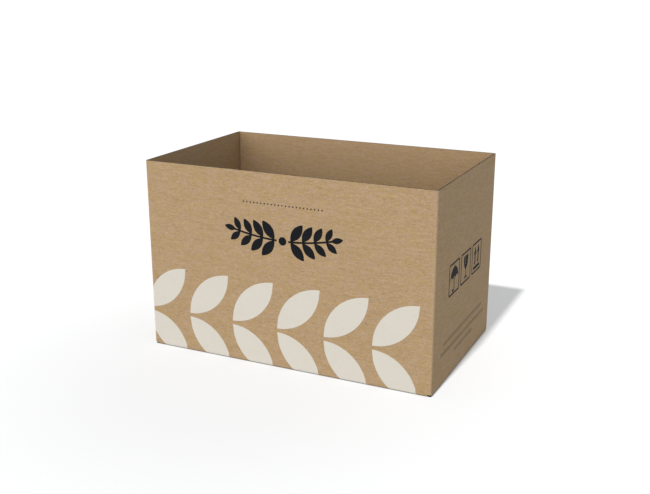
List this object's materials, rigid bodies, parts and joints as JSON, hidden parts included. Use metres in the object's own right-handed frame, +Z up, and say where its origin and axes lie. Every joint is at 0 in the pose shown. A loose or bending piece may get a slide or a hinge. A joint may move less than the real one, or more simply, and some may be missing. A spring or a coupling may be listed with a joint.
{
  "type": "auto lock bottom box",
  "caption": "Open-topped brown kraft carton, folded from one sheet and glued at one corner, with an interlocking self-locking base and a plain cut rim.",
  "frame": {"origin": "centre of the base at floor level", "axes": "+Z up towards the open top, +X along the long walls to the right seen from the front, +Y from the front wall to the back wall"},
  "size_m": [0.25, 0.15, 0.16],
  "materials": {
    "kraft_board": "matt brown kraft liner, unbleached, with darker cut edges",
    "cream_ink": "matt cream flexo ink on kraft",
    "dark_ink": "matt near-black flexo ink on kraft"
  },
  "bodies": {
    "root": {"folded_carton": "kraft_board"}
  },
  "joints": []
}
